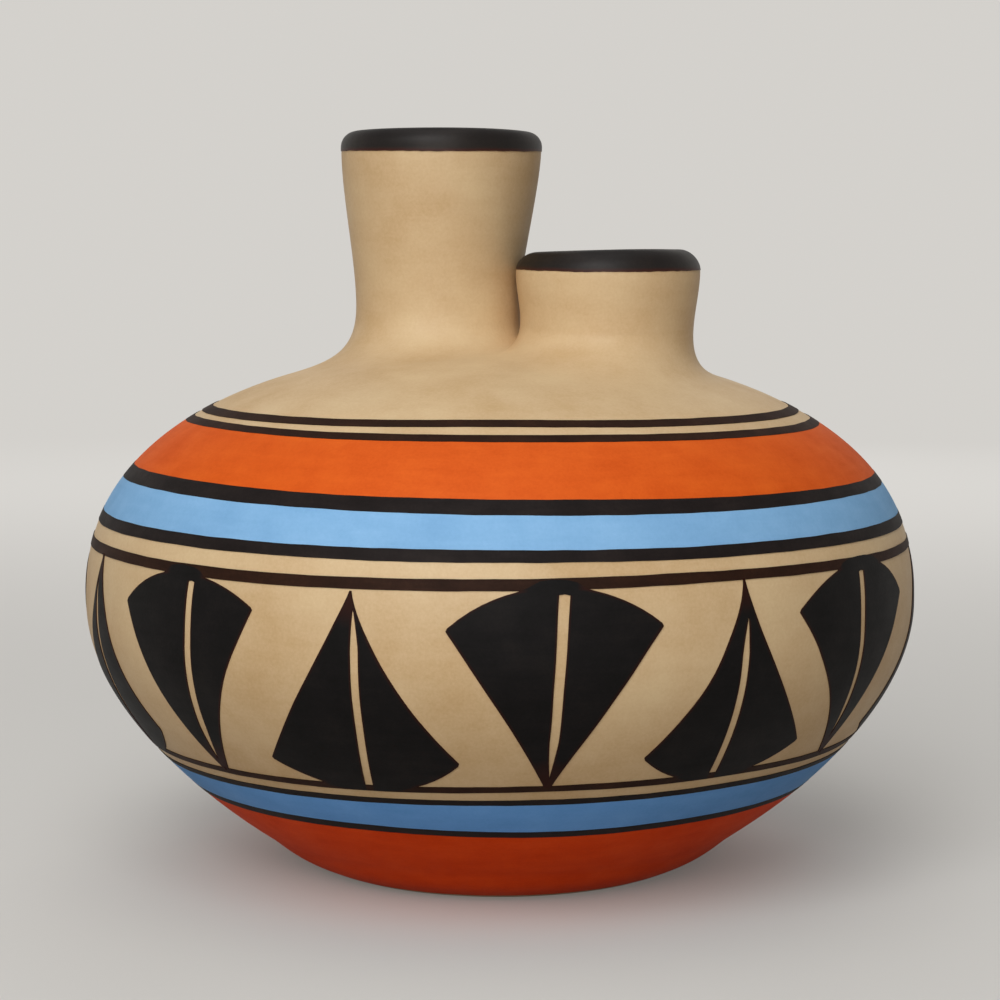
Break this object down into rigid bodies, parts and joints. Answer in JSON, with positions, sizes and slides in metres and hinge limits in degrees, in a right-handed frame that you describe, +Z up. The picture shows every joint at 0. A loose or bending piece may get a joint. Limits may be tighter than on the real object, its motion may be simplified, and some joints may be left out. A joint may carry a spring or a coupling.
{
  "type": "double spout vase",
  "caption": "Squat round earthenware vase with a tall and a short open spout side by side on its domed shoulder, painted with coloured bands and a belt of fans.",
  "frame": {"origin": "centre of the foot, on the surface the vase stands on", "axes": "+Z up; +X from the tall spout to the short spout, both of which stand on the X axis; -Y is the side nearest the picture's view"},
  "size_m": [0.2056, 0.2064, 0.1819],
  "materials": {
    "tan_clay": "matte burnished earthenware",
    "black_slip": "matte painted slip",
    "brown_slip": "matte painted slip",
    "blue_slip": "matte painted slip",
    "orange_slip": "matte painted slip"
  },
  "bodies": {
    "root": {"foot_slab": "tan_clay", "lower_bowl": "tan_clay", "shoulder_wall": "tan_clay", "shoulder_dome": "tan_clay", "tall_spout": "tan_clay", "short_spout": "tan_clay", "tall_rim_coat": "black_slip", "short_rim_coat": "black_slip", "fan_01": "black_slip", "fan_02": "black_slip", "fan_03": "black_slip", "fan_04": "black_slip", "fan_05": "black_slip", "fan_06": "black_slip", "fan_07": "black_slip", "fan_08": "black_slip", "fan_09": "black_slip", "fan_10": "black_slip", "fan_11": "black_slip", "fan_12": "black_slip", "fan_13": "black_slip", "fan_14": "black_slip", "fan_upper_line": "brown_slip", "blue_lower_line": "brown_slip", "blue_orange_line": "brown_slip", "shoulder_lower_line": "brown_slip", "shoulder_upper_line": "brown_slip", "fan_lower_line": "brown_slip", "base_blue_upper_line": "brown_slip", "base_line": "brown_slip", "blue_shoulder_band": "blue_slip", "base_blue_band": "blue_slip", "orange_shoulder_band": "orange_slip", "orange_base_coat": "orange_slip"}
  },
  "joints": []
}
